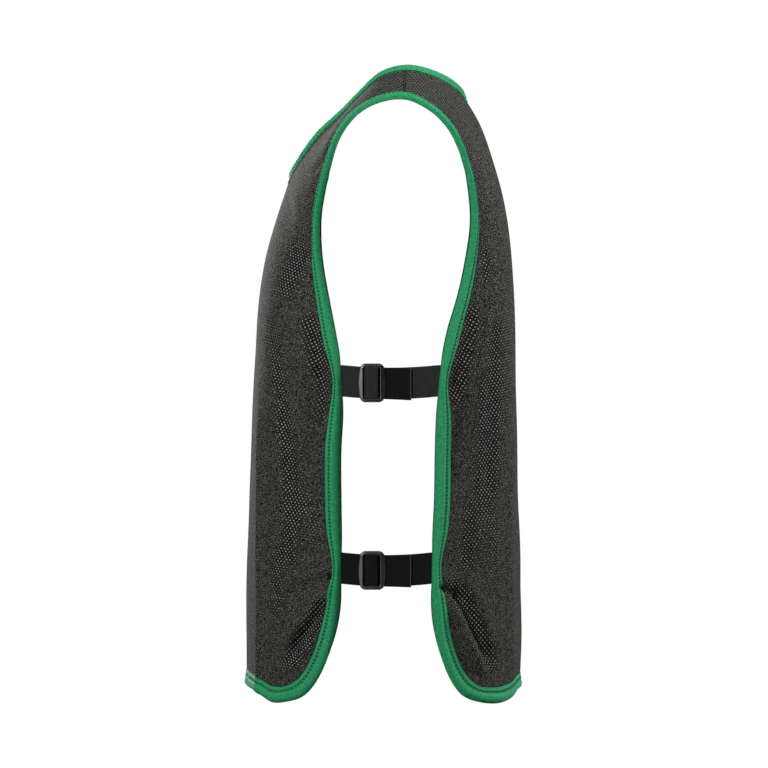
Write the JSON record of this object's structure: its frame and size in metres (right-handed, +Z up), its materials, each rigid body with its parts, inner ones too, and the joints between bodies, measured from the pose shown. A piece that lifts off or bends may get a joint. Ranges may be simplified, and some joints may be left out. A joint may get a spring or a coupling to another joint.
{
  "type": "training bib",
  "caption": "Sleeveless mesh training bib, open at the sides, with bound neck and edges and elastic side straps that adjust through tri-glide sliders.",
  "frame": {"origin": "on the mid-plane, at the height where the shoulder seams sit on the wearer's shoulders", "axes": "+Z up, -Y to the wearer's front, +X to the wearer's left"},
  "size_m": [0.3616, 0.2619, 0.6102],
  "materials": {
    "mesh_knit": "charcoal polyester mesh knit with small eyelets",
    "binding_tape": "green folded polyester tape, stitched",
    "elastic": "black woven elastic",
    "slider_plastic": "moulded black plastic, satin"
  },
  "bodies": {
    "root": {"front_panel": "mesh_knit", "back_panel": "mesh_knit", "front_binding": "binding_tape", "back_binding": "binding_tape", "neck_binding": "binding_tape", "left_upper_front_strap": "elastic", "left_upper_back_strap": "elastic", "left_upper_slider": "slider_plastic", "left_lower_front_strap": "elastic", "left_lower_back_strap": "elastic", "left_lower_slider": "slider_plastic", "right_upper_front_strap": "elastic", "right_upper_back_strap": "elastic", "right_upper_slider": "slider_plastic", "right_lower_front_strap": "elastic", "right_lower_back_strap": "elastic", "right_lower_slider": "slider_plastic"}
  },
  "joints": []
}
